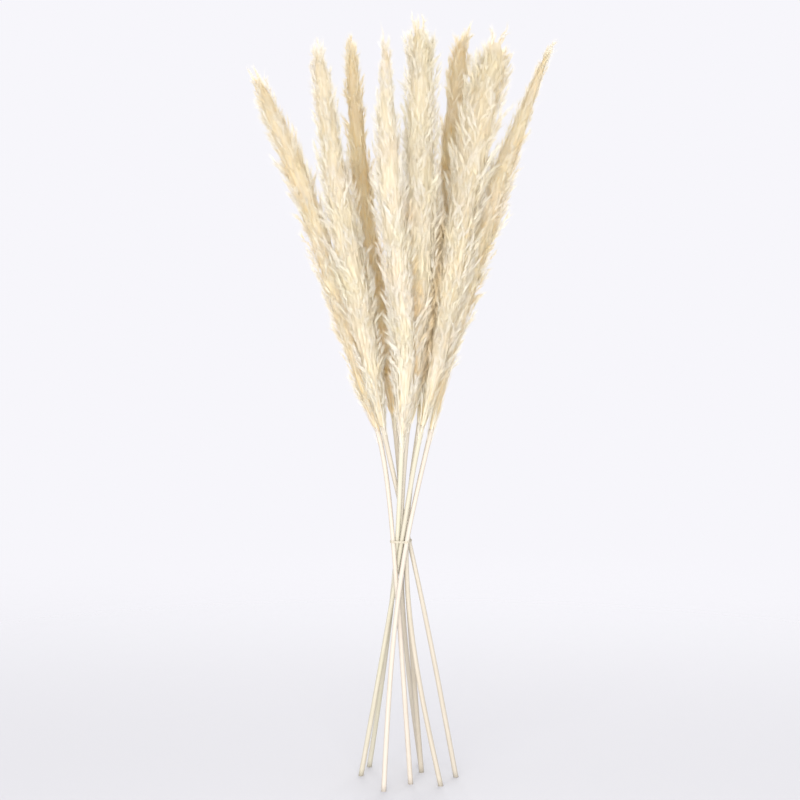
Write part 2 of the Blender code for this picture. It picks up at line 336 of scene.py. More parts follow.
# %% The floor
FLOOR_COLOUR = (0.57, 0.568, 0.58)
FLOOR_ROUGHNESS = 0.9
FLOOR_RADIUS = 8.0
FLOOR_SIDES = 96
FADE_FROM, FADE_TO = 0.2, 1.6


def floor_material():
    """Matt and pale near the bunch, and fading to nothing with the distance from it."""
    paint = Paint("studio_floor")
    far = paint.node("ShaderNodeVectorMath", {"operation": "LENGTH"},
                     {"Vector": paint.place()}, out="Value")
    paint.surface(Base_Color=FLOOR_COLOUR, Roughness=FLOOR_ROUGHNESS)
    clear = paint.node("ShaderNodeBsdfTransparent")
    paint.mix_shader(paint.spread(far, FADE_FROM, FADE_TO, "SMOOTHSTEP"), clear)
    return paint.material


bpy.ops.object.select_all(action="DESELECT")
bpy.ops.mesh.primitive_circle_add(vertices=FLOOR_SIDES, radius=FLOOR_RADIUS, fill_type="NGON")
floor = bpy.context.object
floor.name = "studio_floor"
floor.data.materials.append(floor_material())
print("the floor fades out between", FADE_FROM, "and", FADE_TO, "m from the middle")

# %% The world and the lights
WORLD_COLOUR = (0.93, 0.922, 0.965)
WORLD_STRENGTH = 1.0
LIGHTS = {
    "key_light": dict(place=(-1.0, -2.7, 0.8), size=1.4, power=33.0, spread=180),
    "fill_light": dict(place=(0.1, -1.9, 0.42), size=0.8, power=11.4, spread=110),
    "back_light": dict(place=(0.3, 2.4, 1.6), size=2.0, power=44.0, spread=180),
}
LIGHTS_AIM = Vector((0, 0, 0.45))

world = bpy.data.worlds.new("studio")
bpy.context.scene.world = world
world.use_nodes = True
background = world.node_tree.nodes["Background"]
background.inputs["Color"].default_value = (*WORLD_COLOUR, 1)
background.inputs["Strength"].default_value = WORLD_STRENGTH
for name, light in LIGHTS.items():
    data = bpy.data.lights.new(name, "AREA")
    data.size = light["size"]
    data.energy = light["power"]
    data.spread = math.radians(light["spread"])
    lamp = bpy.data.objects.new(name, data)
    bpy.context.scene.collection.objects.link(lamp)
    lamp.location = light["place"]
    lamp.rotation_euler = (LIGHTS_AIM - lamp.location).to_track_quat("-Z", "Y").to_euler()
bpy.context.scene.view_settings.view_transform = "Standard"
print("lights:", ", ".join(LIGHTS))

# %% [markdown]
# ## One bract, one spikelet and one hair
#
# A pampas head is soft because it is made of thin pointed parts: long dry bracts at its foot,
# papery spikelets about a millimetre wide, and much finer hairs. Blender's hair curves could
# grow them, but they are lost when the model is exported. So each kind is modelled once, one
# unit long, and then copied as a mesh. They have three sides, because at this width more sides
# would never be seen.


# %% Helpers for a piece that is modelled once
def start_clean():
    """Nothing selected, and Object Mode: each new piece starts like this."""
    if bpy.context.mode != "OBJECT":
        bpy.ops.object.mode_set(mode="OBJECT")
    bpy.ops.object.select_all(action="DESELECT")


def draw_out(distance):
    """Extrudes the selected face by a distance along z."""
    bpy.ops.mesh.extrude_region_move(TRANSFORM_OT_translate=dict(value=(0, 0, distance)))


def select_face(piece, height):
    """In Edit Mode, selects only the flat face at this height."""
    bpy.ops.mesh.select_all(action="DESELECT")
    bpy.ops.object.mode_set(mode="OBJECT")
    for face in piece.data.polygons:
        face.select = all(abs(piece.data.vertices[i].co.z - height) < 1e-5
                          for i in face.vertices)
    bpy.ops.object.mode_set(mode="EDIT")


def take_arrays(piece):
    """The points and triangles of a finished model as arrays. The model is removed."""
    bpy.ops.mesh.select_all(action="SELECT")
    bpy.ops.mesh.normals_make_consistent(inside=False)
    bpy.ops.object.mode_set(mode="OBJECT")
    points = np.array([vert.co for vert in piece.data.vertices])
    faces = [face.vertices[:] for face in piece.data.polygons]
    triangles = np.array([(f[0], f[k], f[k + 1]) for f in faces for k in range(1, len(f) - 1)])
    print(f"{piece.name}: {len(points)} points, {len(triangles)} triangles")
    bpy.data.objects.remove(piece, do_unlink=True)
    return points, triangles


print("the helpers for modelling are ready")

# %% Model the bract, the spikelet and the hair
SLIVER_SIDES = 3


def sliver(name, rings):
    """A closed sliver from z = 0 to 1, with a ring at each (height, width).

    Both ends run to a point, apart from a root whose first ring is at the very end.
    """
    start_clean()
    height, width = rings[0]
    bpy.ops.mesh.primitive_circle_add(vertices=SLIVER_SIDES, radius=width / 2,
                                      fill_type="NGON", location=(0, 0, height))
    piece = bpy.context.object
    piece.name = name
    bpy.ops.object.transform_apply()
    bpy.ops.object.mode_set(mode="EDIT")
    for next_height, next_width in rings[1:]:
        draw_out(next_height - height)
        bpy.ops.transform.resize(value=(next_width / width,) * 3,
                                 center_override=(0, 0, next_height))
        height, width = next_height, next_width
    draw_out(1 - height)
    bpy.ops.mesh.merge(type="CENTER")
    root = rings[0][0]
    if root > 0:
        select_face(piece, root)
        draw_out(-root)
        bpy.ops.mesh.merge(type="CENTER")
    return take_arrays(piece)


bract = sliver("bract", [(0.22, 1.0), (0.62, 0.62)])
spikelet = sliver("spikelet", [(0.4, 1.0)])
hair = sliver("hair", [(0.0, 1.0)])

# %% [markdown]
# ## The material of the heads
#
# Dry pampas is cream, with yellow and pinkish patches. The ends of the hairs are painted paler,
# a painted highlight where they catch the light, and a warmer tan is painted deep inside and in
# the clefts between heads, as painted shade where light passes through many hairs. Hair this
# thin lets light through, so most of the shader is translucent, and more of it higher up, where
# a head is looser. One flat colour would lose all this, and a picture can't be wrapped on
# thousands of hairs. So each point carries values that the material reads: how far along its
# hair it is, how deep in the head, how high up, how near a cleft, and a tone that differs from
# tuft to tuft and carries some painted shade. Two heads at the back are painted tan, as painted
# shade, and theirs is a second material, through which warmer light comes.

# %% The plume materials
HAIR_COLOURS = [(0.0, (0.82, 0.63, 0.31)), (0.3, (0.925, 0.872, 0.725)),
                (0.55, (0.937, 0.92, 0.855)), (1.0, (0.95, 0.937, 0.90))]
YELLOW_PATCH = (0.93, 0.90, 0.71)
PINK_PATCH = (0.94, 0.872, 0.785)
# Painted highlight: the ends of the hairs are paler, where they catch the light.
PAINTED_END_HIGHLIGHT = (0.95, 0.935, 0.88)
# Painted shade: a warmer, darker tan deep inside a head.
DEEP_PAINTED_SHADE = (1.0, 0.93, 0.78)
# Painted shade: a warmer tan in the clefts where heads press together.
CLEFT_PAINTED_SHADE = (0.98, 0.84, 0.60)
STREAKS = dict(scale=900.0, stretch=(1, 1, 0.14))
PATCHES = dict(scale=22.0, detail=1.0)
STREAK_STRENGTH = 0.3
PATCH_STRENGTH = 0.5
END_STRENGTH = 0.3
# Where each tint, painted highlight and painted shade begins, and where it is full, on the value
# that it is read from.
YELLOW_RANGE, PINK_RANGE = (0.52, 0.72), (0.46, 0.30)
END_RANGE, DEEP_RANGE, CLEFT_RANGE = (0.35, 1.0), (1.0, 0.5), (0.65, 1.0)
HAIR_ROUGHNESS = 0.7
# How much of the light comes through the hairs, and what colour it takes on.
THROUGH_AT_COLLAR, THROUGH_AT_TIP = 0.60, 0.78
CREAM_LIGHT = (0.94, 0.919, 0.87)
# A warmer tan light through the two heads at the back, as painted shade.
SHADED_TAN_LIGHT = (0.93, 0.883, 0.765)
SHADED_HEADS = (3, 6)


def plume_material(name, light_through):
    """Hair that light shines through, tinted and given painted shade and highlight by its values.
    """
    paint = Paint(name)
    streaks = paint.noise(paint.place(), **STREAKS)
    tone = paint.attribute("tone") + (streaks - 0.5) * STREAK_STRENGTH
    colour = paint.ramp(tone, HAIR_COLOURS)
    patches = paint.noise(paint.place(), **PATCHES)
    yellow = paint.spread(patches, *YELLOW_RANGE) * PATCH_STRENGTH
    pink = paint.spread(patches, *PINK_RANGE) * PATCH_STRENGTH
    # Painted highlight: the hair ends are paler.
    ends = paint.spread(paint.attribute("along"), *END_RANGE) * END_STRENGTH
    colour = paint.mix(yellow, colour, YELLOW_PATCH)
    colour = paint.mix(pink, colour, PINK_PATCH)
    colour = paint.mix(ends, colour, PAINTED_END_HIGHLIGHT)
    # Painted shade deep inside the head.
    deep = paint.spread(paint.attribute("depth"), *DEEP_RANGE)
    # Painted shade in the clefts between heads.
    cleft = paint.spread(paint.attribute("crowd"), *CLEFT_RANGE)
    colour = paint.mix(deep, colour, DEEP_PAINTED_SHADE, "MULTIPLY")
    colour = paint.mix(cleft, colour, CLEFT_PAINTED_SHADE, "MULTIPLY")
    paint.surface(Base_Color=colour, Roughness=HAIR_ROUGHNESS)
    through = paint.node("ShaderNodeBsdfTranslucent", {}, {"Color": light_through})
    share = (paint.attribute("height") * (THROUGH_AT_TIP - THROUGH_AT_COLLAR)
             + THROUGH_AT_COLLAR)
    paint.mix_shader(share, through)
    return paint.material


cream_hair = plume_material("plume_hair_cream", CREAM_LIGHT)
shaded_tan_hair = plume_material("plume_hair_shaded_tan", SHADED_TAN_LIGHT)
print("materials:", cream_hair.name, "and", shaded_tan_hair.name)

# %% [markdown]
# ## How a head is put together
#
# On the real head, branchlets leave the axis all the way up and lie close to it. Each ends in
# a tuft of sprigs that runs to a soft point, like a flame, and the tufts overlap like feathers.
# Hairs scattered evenly would make a smooth brush, without these flames. So each head is laid
# out in steps. First come the tufts, set round the axis by the golden angle, the rule by which
# many plants place their leaves. They swell and shrink a little in waves, which gives the head
# its lumps, and two or three more stand up as peaks at the tip. Then each tuft gets its
# sprigs, which leave it one above the other and lean a little each its own way. Last, each
# sprig gets one spikelet and ten hairs. All of it is worked out for a straight head, in
# millimetres, and every point is then moved to the bent line of its culm.

# %% Sizes of the tufts
GOLDEN_ANGLE = math.radians(137.5)
QUARTER_TURN = math.pi / 2
UP = np.array([0.0, 0.0, 1.0])
# A head is measured at this many levels.
LEVELS = 400
# The surface of a head, in square millimetres, that one tuft covers.
TUFT_AREA = 153.0
TUFT_LENGTH = (26.0, 40.0)
LEAST_LENGTH = 0.6
TUFT_HALF_WIDTH = (3.4, 5.2)
# A head this wide on either side of its axis has tufts of full size.
FULL_HEAD = 18.0
# Where tufts start and end, as shares of the half width of the head.
TUFT_ROOT = (0.5, 0.8)
TUFT_TIP = (1.0, 1.30)
# How sharply a tuft bends outwards, how far it strays from its place round the axis, and how
# far it turns on its way up, both in radians.
TUFT_FLARE = (1.3, 2.3)
TUFT_STRAY = 0.35
TUFT_TURN = 0.34
TUFT_TONE, TONE_SPREAD, TONE_LIMITS = 0.52, 0.10, (0.05, 0.95)
# The lowest tufts start at these levels. The highest end in a dome below the tip.
LOWEST_START = (-6, 10)
DOME_TUFTS = (-12, 1)
DOME_ROUND = 0.75
TIP_TAPER = 6.0
# Some tufts stay inside the others, and are painted darker, as painted shade.
INNER_SHARE = 0.22
INNER_ROOT, INNER_TIP = 0.08, 0.62
INNER_SHADE = -0.15
# Two waves, in millimetres for each radian, and what they do to a tuft.
LUMP_WAVES = (8.0, 5.0)
LUMP_LENGTH, LUMP_REACH, LUMP_TONE = 0.2, 0.16, 0.08
# The tone of each head at its collar and at its tip: higher is paler. It is partly the head's own
# tone and partly painted shade: heads 3 and 6, behind the others, darken towards the collar, and
# the outer heads 1 and 8 are painted darker.
HEAD_TONES_AND_SHADE = {1: (-0.24, -0.22), 2: (0.0, -0.04), 3: (-0.52, 0.06), 4: (0.1, 0.24),
              5: (0.02, 0.04), 6: (-0.52, 0.02), 7: (-0.08, -0.16), 8: (-0.26, -0.24)}
# The peaks of each head: how far to the side each ends, and how far above the tip.
PEAKS = {1: ((-5, 5), (1, 1)), 2: ((0, 3), (-4, -2)), 3: ((0, 4), (-2, 0)),
         4: ((-2, 5), (3, -3)), 5: ((-9, 6), (5, 4), (-2, -1)),
         6: ((9, 7), (5, 4), (11, -2)), 7: ((9, 12), (4, 5), (-9, 4)), 8: ((3, 4), (0, 0))}
PEAK_START = 26.0
PEAK_STRAY = 0.4
PEAK_ROOT, PEAK_FLARE = 1.5, 1.5
PEAK_TONE = 0.55
print("peaks:", sum(len(peaks) for peaks in PEAKS.values()))


# %% Lay the tufts of a head
def around(angle):
    """Unit vectors that point away from the axis, at these angles round it."""
    return np.stack([np.cos(angle), np.sin(angle), np.zeros(len(angle))], axis=1)


def tuft_size(half_width):
    """From 0.5 where the head is narrow to 1 where it is wide."""
    return 0.5 + 0.5 * np.clip(half_width / FULL_HEAD, 0, 1)


def head_tone_and_shade(culm, level):
    """How much paler a head is than the others at a level above its collar, with painted shade."""
    low, high = HEAD_TONES_AND_SHADE[culm.number]
    return low + (high - low) * np.clip(level / culm.head_height(), 0, 1) ** 2


def lay_peaks(culm, height, rng):
    """The topmost tufts, in the same form as the others."""
    side, above = np.array(PEAKS[culm.number], float).T
    count = len(side)
    size = np.full(count, tuft_size(culm.half_widths[-3] / MM))
    return dict(start=np.full(count, height - PEAK_START), length=PEAK_START + above,
                angle=np.where(side < 0, math.pi, 0) + rng.uniform(-PEAK_STRAY, PEAK_STRAY, count),
                turn=np.zeros(count), root=np.full(count, PEAK_ROOT), tip=np.abs(side),
                half_width=TUFT_HALF_WIDTH[0] * size, flare=np.full(count, PEAK_FLARE),
                size=size, tone=np.full(count, PEAK_TONE + head_tone_and_shade(culm, height)))


def lump_waves(level, angle, rng):
    """Two waves that cross on the head, as a value from -1 to 1 at each place."""
    first, second = rng.uniform(0, 2 * math.pi, 2)
    long_wave, short_wave = LUMP_WAVES
    return (np.sin(level / long_wave + 2 * angle + first)
            + np.sin(level / short_wave - angle + second)) / 2


def lay_tufts(culm, rng):
    """Where each tuft of a straight head starts and ends, its form and its tone."""
    height = culm.head_height()
    levels = np.linspace(0, height, LEVELS)
    half_widths = culm.head_half_width(levels)
    count = int(2 * math.pi * half_widths.mean() * height / TUFT_AREA)
    share = np.cumsum(half_widths) / half_widths.sum()
    middle = np.interp((np.arange(count) + 0.5) / count, share, levels)
    size = tuft_size(np.interp(middle, levels, half_widths))
    angle = np.arange(count) * GOLDEN_ANGLE + rng.uniform(-TUFT_STRAY, TUFT_STRAY, count)
    lump = lump_waves(middle, angle, rng)
    length = rng.uniform(*TUFT_LENGTH, count) * size * (1 + LUMP_LENGTH * lump)
    start = np.maximum(middle - length / 2, rng.uniform(*LOWEST_START, count))
    end = np.minimum(start + length, height)
    start = np.minimum(start, end - LEAST_LENGTH * length)
    inner = rng.random(count) < INNER_SHARE
    tip = np.interp(np.minimum(end, height - TIP_TAPER), levels, half_widths)
    outer_tip = rng.uniform(*TUFT_TIP, count) * (1 + LUMP_REACH * lump)
    tip = tip * np.where(inner, INNER_TIP, outer_tip)
    dome = height + rng.uniform(*DOME_TUFTS, count) - DOME_ROUND * tip
    root = np.interp(start, levels, half_widths)
    start, end = start - np.maximum(end - dome, 0), np.minimum(end, dome)
    turn = rng.normal(0, TUFT_TURN, count)
    root = root * np.where(inner, INNER_ROOT, rng.uniform(*TUFT_ROOT, count))
    half_width = rng.uniform(*TUFT_HALF_WIDTH, count) * size
    flare = rng.uniform(*TUFT_FLARE, count)
    tone = rng.normal(TUFT_TONE + head_tone_and_shade(culm, middle), TONE_SPREAD, count)
    tone = np.clip(tone + INNER_SHADE * inner + LUMP_TONE * lump, *TONE_LIMITS)
    tufts = dict(start=start, length=end - start, angle=angle, turn=turn, root=root, tip=tip,
                 half_width=half_width, flare=flare, size=size, tone=tone)
    peaks = lay_peaks(culm, height, rng)
    return {name: np.concatenate([value, peaks[name]]) for name, value in tufts.items()}


print("tufts on each head:", [len(lay_tufts(culm, np.random.default_rng(1))["start"])
                              for culm in culms.values()])

# %% Sizes of the sprigs and of what is in them
SPRIGS = 10
SPRIG_SPAN = 0.80
SPRIG_LENGTH = (7.0, 12.5)
SPRIG_LEAN = 2.5
# Where sprigs sit in a tuft, from its inner half to its outside at 1.
SPRIG_DEPTHS = (-0.5, 1.0)
# What each kind of sliver is like in a sprig: how thick it is for its width, where along the
# sprig it begins and ends, how far it strays, and how much paler or darker it is.
SPIKELETS = dict(shape=spikelet, count=1, width=1.5, flat=0.35, begin=(0.0, 0.1),
                 end=(0.7, 0.95), spread=0.2, tone=-0.04)
HAIRS = dict(shape=hair, count=4, width=0.66, flat=0.6, begin=(0.0, 0.3), end=(0.75, 1.1),
             spread=0.9, tone=0.02)
FINE_HAIRS = dict(shape=hair, count=6, width=0.46, flat=0.6, begin=(0.1, 0.5),
                  end=(0.8, 1.35), spread=1.3, tone=0.05)
WIDTHS_VARY = (0.7, 1.25)
TONES_VARY = 0.05
# Painted light and shade: sprigs on the outside of a tuft paler, in its inner half darker.
OUTER_LIGHT_AND_SHADE = 0.08
# A sprig is narrow at its foot and fans out at its end, by these shares of its place.
SPRIG_FOOT, SPRIG_FAN = 0.7, 1.25
# How much of its straying a sliver has at its foot and in its middle.
STRAY_AT_FOOT, STRAY_IN_MIDDLE = 0.3, 0.4
# A sliver faces away from the axis, and to the side on the flanks of its tuft.
FACING_OUT, FACING_OUTER, FACING_ASIDE, FACING_SPREAD = 0.9, 0.5, 0.8, 0.15
# Half the width of a tuft along its length, from its narrow root to its soft point.
TUFT_PROFILE = ((0.0, 0.12, 0.4, 0.65, 0.85, 1.0, 1.08), (0.35, 0.75, 1.0, 0.95, 0.75, 0.45, 0.3))
TUFT_THICKNESS = 0.7
print("slivers in a tuft:", SPRIGS * sum(kind["count"] for kind in (SPIKELETS, HAIRS, FINE_HAIRS)))


# %% Fill the tufts with sprigs, and the sprigs with slivers
def point_in_tuft(tufts, share, across, deep):
    """A point of each tuft: its share of the length, and its place across and deep in it."""
    angle = tufts["angle"] + tufts["turn"] * share
    radius = tufts["root"] + (tufts["tip"] - tufts["root"]) * np.abs(share) ** tufts["flare"]
    width = tufts["half_width"] * np.interp(share, *TUFT_PROFILE)
    return (around(angle) * (radius + deep * width * TUFT_THICKNESS)[:, None]
            + around(angle + QUARTER_TURN) * (across * width)[:, None]
            + UP * (tufts["start"] + tufts["length"] * share)[:, None])


def lay_sprigs(tufts, rng):
    """The sprigs of all tufts, one above the other. Small tufts have shorter ones."""
    tuft = np.repeat(np.arange(len(tufts["start"])), SPRIGS)
    count = len(tuft)
    sprigs = {name: value[tuft] for name, value in tufts.items()}
    order = np.tile(np.arange(SPRIGS), len(tufts["start"])) + rng.random(count)
    length = rng.uniform(*SPRIG_LENGTH, count) * (0.5 + 0.5 * sprigs["size"])
    sprigs["first"] = order / SPRIGS * SPRIG_SPAN
    sprigs["run"] = length / sprigs["length"]
    sprigs["across"] = np.sin(rng.uniform(-math.pi / 2, math.pi / 2, count))
    sprigs["deep"] = rng.uniform(*SPRIG_DEPTHS, count) * np.sqrt(1 - sprigs["across"] ** 2)
    lean = rng.normal(0, SPRIG_LEAN, (count, 3))
    sprigs["lean"] = np.clip(lean, -2 * SPRIG_LEAN, 2 * SPRIG_LEAN)
    own_tone = rng.normal(0, TONES_VARY, count)
    sprigs["tone"] = sprigs["tone"] + OUTER_LIGHT_AND_SHADE * sprigs["deep"] + own_tone
    return sprigs


def fill_sprigs(sprigs, kind, rng):
    """The slivers of one kind in all sprigs, each a curve through three points.

    A sliver begins close to its neighbours in the sprig and strays most at its end.
    """
    each = {name: np.repeat(value, kind["count"], axis=0) for name, value in sprigs.items()}
    count = len(each["first"])
    first = each["first"] + each["run"] * rng.uniform(*kind["begin"], count)
    last = each["first"] + each["run"] * rng.uniform(*kind["end"], count)
    across, deep = each["across"], each["deep"]
    own = rng.normal(0, kind["spread"], (count, 3))
    begin = point_in_tuft(each, first, across * SPRIG_FOOT, deep * SPRIG_FOOT)
    begin = begin + STRAY_AT_FOOT * own
    middle = point_in_tuft(each, (first + last) / 2, across, deep) + STRAY_IN_MIDDLE * own
    end = point_in_tuft(each, last, across * SPRIG_FAN, deep * SPRIG_FAN) + each["lean"] + own
    width = kind["width"] * rng.uniform(*WIDTHS_VARY, count) * (0.5 + 0.5 * each["size"])
    tone = each["tone"] + kind["tone"] + rng.normal(0, TONES_VARY, count)
    angle = each["angle"] + each["turn"] * first
    facing = (around(angle) * (FACING_OUT + FACING_OUTER * deep)[:, None]
              + around(angle + QUARTER_TURN) * (FACING_ASIDE * across)[:, None]
              + rng.normal(0, FACING_SPREAD, (count, 3)))
    return dict(place=begin, direction=4 * middle - 3 * begin - end,
                bend=2 * begin + 2 * end - 4 * middle, width=width, flat=kind["flat"],
                tone=np.clip(tone, 0, 1), facing=facing)


trial = np.random.default_rng(1)
print("sprigs on head 1:", len(lay_sprigs(lay_tufts(culms[1], trial), trial)["first"]))


# %% Copy a sliver many times
def copy_slivers(slivers, shape):
    """Every sliver as a bent copy of the unit shape: points, triangles and their values."""
    points, triangles = shape
    count = len(slivers["width"])
    t = points[:, 2][None, :, None]
    along = slivers["direction"] / np.linalg.norm(slivers["direction"], axis=1, keepdims=True)
    wide = np.cross(slivers["facing"], along)
    wide /= np.linalg.norm(wide, axis=1, keepdims=True)
    thin = np.cross(wide, along)
    copies = slivers["place"][:, None, :] + slivers["direction"][:, None, :] * t
    copies = copies + slivers["bend"][:, None, :] * t ** 2
    half = slivers["width"][:, None, None]
    copies += wide[:, None, :] * points[:, 0][None, :, None] * half
    copies += thin[:, None, :] * points[:, 1][None, :, None] * half * slivers["flat"]
    first = np.arange(count)[:, None, None] * len(points)
    return dict(points=copies.reshape(-1, 3), faces=(triangles[None] + first).reshape(-1, 3),
                along=np.tile(points[:, 2], count),
                tone=np.repeat(slivers["tone"], len(points)))


print("a sliver is copied with", len(bract[0]), len(spikelet[0]), "or", len(hair[0]), "points")

# %% [markdown]
# ## What lies under the tufts and round the collar
#
# Tufts alone would let light through the middle of a head. On the real one the close inner
# down stops it, so here a narrow closed skin runs up the axis, and blades lie over it, close
# under the surface, where they fill the gaps between tufts with pale hair. Long flat bracts
# clothe the foot of the head and run up into its tufts. Fibres of the last leaf sheath cling
# to the stem just below, and some stand away. Here and there a thin awn sticks out.

# %% The close inner down, as a tapering tube
CORE_SIDES = 14
CORE_RINGS = 60
CORE_SHARE = 0.6
CORE_START = 1.4
BELOW_TIP = 10.0
# The core widens from the stem at this pace: a level, and the most that its radius may be.
CORE_FOOT = ((0, 50), (2.1, 30))
CORE_ALONG, CORE_TONE = 0.2, 0.45
DOME_HEIGHT = 26.0
DOME_TOP = 5.0


def tube(rings):
    """Closes a row of rings, given as (ring, side, xyz), into one skin with two ends."""
    count, sides = rings.shape[:2]
    points = np.concatenate([rings.reshape(-1, 3), [rings[0].mean(0)], [rings[-1].mean(0)]])
    low = np.arange((count - 1) * sides).reshape(-1, sides)
    beside = np.roll(low, -1, axis=1)
    faces = [np.stack([low, beside, beside + sides], -1).reshape(-1, 3),
             np.stack([low, beside + sides, low + sides], -1).reshape(-1, 3)]
    start = np.arange(sides)
    end = start + (count - 1) * sides
    faces.append(np.stack([np.roll(start, -1), start, np.full(sides, len(points) - 2)], -1))
    faces.append(np.stack([end, np.roll(end, -1), np.full(sides, len(points) - 1)], -1))
    return points, np.concatenate(faces)


def rounded_top(levels, height):
    """How far in the inner layers draw near the tip: 1 below it, and 0 just under the top."""
    return np.sqrt(np.clip((height - DOME_TOP - levels) / DOME_HEIGHT, 0.001, 1))


def core_tube(culm):
    """The close inner down of a straight head, drawn as one narrow skin round the axis."""
    height = culm.head_height()
    levels = np.linspace(CORE_START, height - BELOW_TIP, CORE_RINGS)
    radius = culm.head_half_width(levels) * CORE_SHARE
    radius = np.minimum(radius, np.interp(levels, *CORE_FOOT)) * rounded_top(levels, height)
    angle = np.arange(CORE_SIDES) * 2 * math.pi / CORE_SIDES
    rings = np.stack([np.outer(radius, np.cos(angle)), np.outer(radius, np.sin(angle)),
                      np.repeat(levels[:, None], CORE_SIDES, axis=1)], axis=-1)
    points, faces = tube(rings)
    return dict(points=points, faces=faces, along=np.full(len(points), CORE_ALONG),
                tone=np.full(len(points), CORE_TONE))


print("triangles in a core:", len(core_tube(culms[1])["faces"]))

# %% The undercoat of blades
UNDERCOAT = dict(spacing=0.18, length=(9, 18), width=2.5, thinnest=0.3, flat=0.3,
                 reach=(0.60, 0.76), starts_below=26, ends_below=13, tone=0.5,
                 tone_spread=0.11, facing_spread=0.12)


def undercoat(culm, rng):
    """Broad pale blades close under the surface, each running along it."""
    height = culm.head_height()
    count = int(height / UNDERCOAT["spacing"])
    start = np.linspace(0, height - UNDERCOAT["starts_below"], count)
    end = np.minimum(start + rng.uniform(*UNDERCOAT["length"], count),
                     height - UNDERCOAT["ends_below"])
    reach = rng.uniform(*UNDERCOAT["reach"], count)
    out = around(rng.uniform(0, 2 * math.pi, count))
    low, high = [culm.head_half_width(level) * reach * rounded_top(level, height)
                 for level in (start, end)]
    begin = out * low[:, None] + UP * start[:, None]
    finish = out * high[:, None] + UP * end[:, None]
    thinnest = UNDERCOAT["thinnest"]
    width = thinnest + (1 - thinnest) * np.clip(high / FULL_HEAD, 0, 1)
    tone = rng.normal(UNDERCOAT["tone"] + head_tone_and_shade(culm, start), UNDERCOAT["tone_spread"], count)
    facing = out + rng.normal(0, UNDERCOAT["facing_spread"], (count, 3))
    return dict(place=begin, direction=finish - begin, bend=np.zeros((count, 3)),
                width=UNDERCOAT["width"] * width, flat=UNDERCOAT["flat"], tone=tone,
                facing=facing)


print("blades in an undercoat:", int(culms[1].head_height() / UNDERCOAT["spacing"]))

# %% The bracts, the sheath fibres and the awns
BRACTS = dict(count=90, start=(-6, 44), length=(22, 48), width=1.5, widths_vary=(0.6, 1.25),
              flat=0.3, inside=0.75, reach=(0.55, 1.12), bow=0.18, sway=1.3, tone=0.42,
              tone_spread=0.2, facing_spread=0.25)
# How far from the axis a bract may start, at the collar and a little above it.
BRACT_FOOT = ((-14, 15), (2.1, 8.0))
# On the two heads at the back, which carry painted shade, the bracts begin lower, in
# millimetres above the collar.
LOW_STARTS = {3: -14.0, 6: -12.0}
# A loose fibre is shorter, leans out more and curls.
FIBRES = dict(count=44, start=(-24, 10), length=(22, 50), width=0.9, widths_vary=(0.6, 1.3),
              flat=0.5, root=2.0, lean=0.04, loose_lean=0.20, loose_curl=1.6,
              loose_shorter=0.45, tone=(0.4, 0.8))
AWNS = dict(count=70, starts_above=20, starts_below=14, length=(12, 22), width=0.24, flat=1.0,
            inside=0.75, lean=(0.2, 0.55), stray=0.12, curl=0.8, curl_spread=1.2,
            tone=(0.6, 0.95))
LOOSE_FACING_SPREAD = 0.3


def bracts(culm, rng):
    """Long flat bracts that clothe the foot of the head and run up into its tufts."""
    count = BRACTS["count"]
    lowest = LOW_STARTS.get(culm.number, BRACTS["start"][0])
    start = rng.uniform(lowest, BRACTS["start"][1], count)
    end = start + rng.uniform(*BRACTS["length"], count)
    out = around(np.arange(count) * GOLDEN_ANGLE)
    low, high = [culm.head_half_width(np.maximum(level, 0)) for level in (start, end)]
    root = np.minimum(BRACTS["inside"] * low, np.interp(start, *BRACT_FOOT))
    place = out * root[:, None] + UP * start[:, None]
    reach = high * rng.uniform(*BRACTS["reach"], count)
    sway = rng.normal(0, BRACTS["sway"], (count, 3))
    finish = out * reach[:, None] + UP * end[:, None] + sway
    bow = out * (BRACTS["bow"] * reach)[:, None]
    width = BRACTS["width"] * rng.uniform(*BRACTS["widths_vary"], count)
    tone = rng.normal(BRACTS["tone"] + head_tone_and_shade(culm, start), BRACTS["tone_spread"], count)
    facing = out + rng.normal(0, BRACTS["facing_spread"], (count, 3))
    return dict(place=place, direction=finish - place + bow, bend=-bow, width=width,
                flat=BRACTS["flat"], tone=np.clip(tone, 0, 1), facing=facing)


def slivers_from(place, direction, length, bend, width, flat, tone, rng):
    """Slivers that start at a place and run in a direction, in the form copy_slivers takes."""
    direction = direction / np.linalg.norm(direction, axis=1, keepdims=True)
    facing = place * (1, 1, 0) + rng.normal(0, LOOSE_FACING_SPREAD, place.shape)
    return dict(place=place, direction=direction * length[:, None], bend=bend, width=width,
                flat=flat, tone=tone, facing=facing)


def sheath_fibres(culm, rng):
    """Fibres at the collar. Most cling to the stem, and a few stand away."""
    count = FIBRES["count"]
    out = around(np.arange(count) * GOLDEN_ANGLE)
    start = rng.uniform(*FIBRES["start"], count)
    loose = rng.random(count) ** 2
    length = rng.uniform(*FIBRES["length"], count) * (1 - FIBRES["loose_shorter"] * loose)
    place = out * FIBRES["root"] + UP * start[:, None]
    direction = UP + out * (FIBRES["lean"] + FIBRES["loose_lean"] * loose)[:, None]
    curl = out * (FIBRES["loose_curl"] * loose)[:, None]
    width = FIBRES["width"] * rng.uniform(*FIBRES["widths_vary"], count)
    tone = rng.uniform(*FIBRES["tone"], count)
    return slivers_from(place, direction, length, curl, width, FIBRES["flat"], tone, rng)


